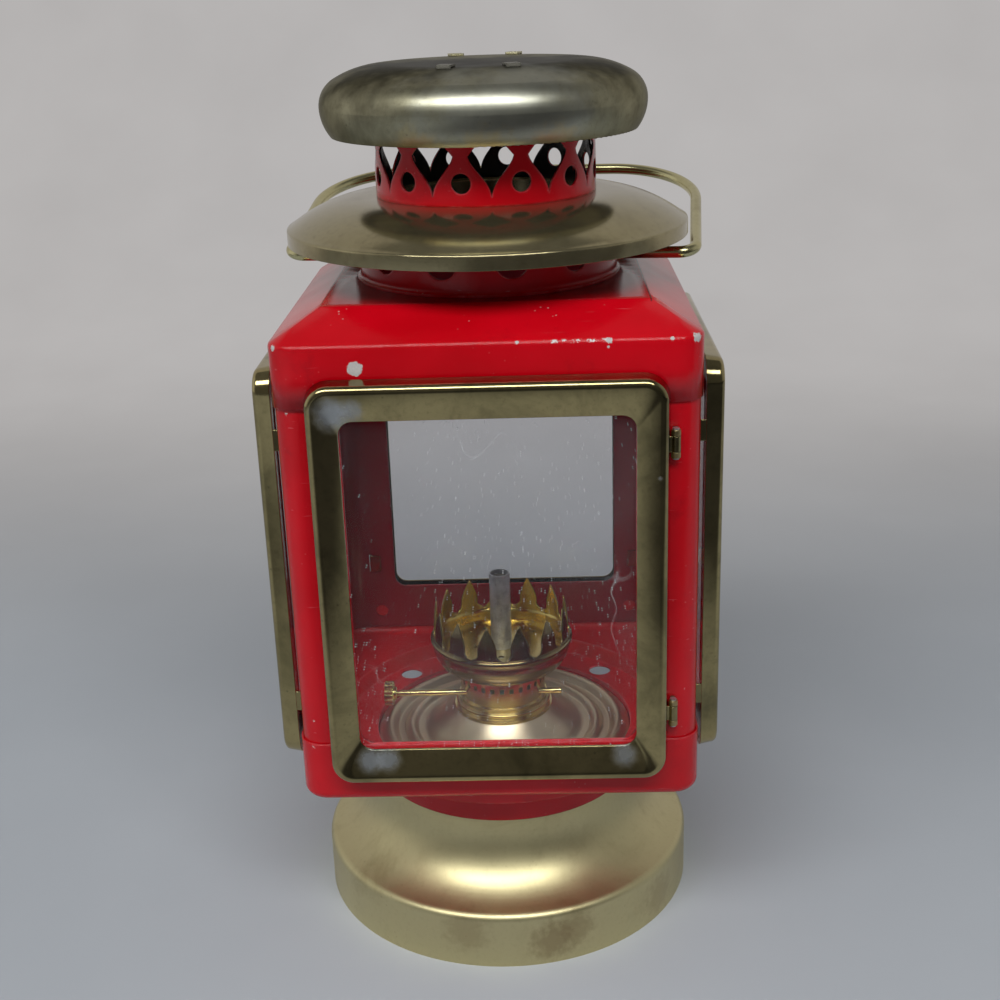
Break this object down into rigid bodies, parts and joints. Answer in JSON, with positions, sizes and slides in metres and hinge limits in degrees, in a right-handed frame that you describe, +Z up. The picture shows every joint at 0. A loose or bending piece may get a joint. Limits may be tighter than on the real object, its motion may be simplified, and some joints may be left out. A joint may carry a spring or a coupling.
{
  "type": "oil lantern",
  "caption": "Square-bodied oil lantern with a painted sheet body, brass-framed glass sides, a hinged door, a pierced flue under a bun cap, a wire bail and a lift-off brass foot with burner.",
  "frame": {"origin": "centre of the underside of the foot, on the ground", "axes": "+Z up through the middle of the foot, body and cap; the door faces -Y with its hinge on the +X side"},
  "size_m": [0.1302, 0.1361, 0.2623],
  "materials": {
    "red_enamel": "gloss",
    "brass": "satin",
    "wire": "satin",
    "tinned_steel": "satin",
    "clear_glass": "gloss",
    "cotton": "matte"
  },
  "bodies": {
    "font": {"base_skirt": "brass", "base_plate": "tinned_steel", "tank_drum": "brass", "tank_lid": "brass", "burner_collar": "brass", "burner_body": "brass", "burner_crown": "brass", "air_plate": "brass", "wick_tube": "tinned_steel"},
    "raiser": {"raiser_shaft": "tinned_steel", "raiser_wheel": "tinned_steel", "raiser_knob": "brass"},
    "wick": {"wick": "cotton"},
    "lantern": {"neck_collar": "red_enamel", "floor_tray": "red_enamel", "wall_sleeve": "red_enamel", "hood": "red_enamel", "flue_collar": "red_enamel", "brim": "brass", "vent_gallery": "red_enamel", "cap": "brass", "left_frame": "brass", "right_frame": "brass", "back_frame": "brass", "left_glass": "clear_glass", "right_glass": "clear_glass", "back_glass": "clear_glass", "hinge_brackets": "brass", "hinge_pins": "tinned_steel"},
    "door": {"door_frame": "brass", "door_glass": "clear_glass"},
    "bail": {"bail": "wire"}
  },
  "joints": [
    {"name": "body_lift", "type": "slide", "parent": "font", "child": "lantern", "axis": [0, 0, 1], "range_m": [0, 0.07]},
    {"name": "door_hinge", "type": "hinge", "parent": "lantern", "child": "door", "pos_m": [0.04985, -0.05915, 0.12605], "axis": [0, 0, 1], "range_deg": [0, 110]},
    {"name": "bail_swing", "type": "hinge", "parent": "lantern", "child": "bail", "pos_m": [0, 0, 0.207], "axis": [0.9945, -0.1045, 0], "range_deg": [0, 154]},
    {"name": "raiser_turn", "type": "hinge", "parent": "font", "child": "raiser", "pos_m": [0, -0.0062, 0.0663], "axis": [1, 0, 0], "range_deg": [0, 99]},
    {"name": "wick_lift", "type": "slide", "parent": "font", "child": "wick", "axis": [0, 0, 1], "range_m": [0, 0.006]}
  ],
  "couplings": [
    {"joint": "raiser_turn", "follows": "wick_lift", "rad_per_m": 285.71}
  ]
}
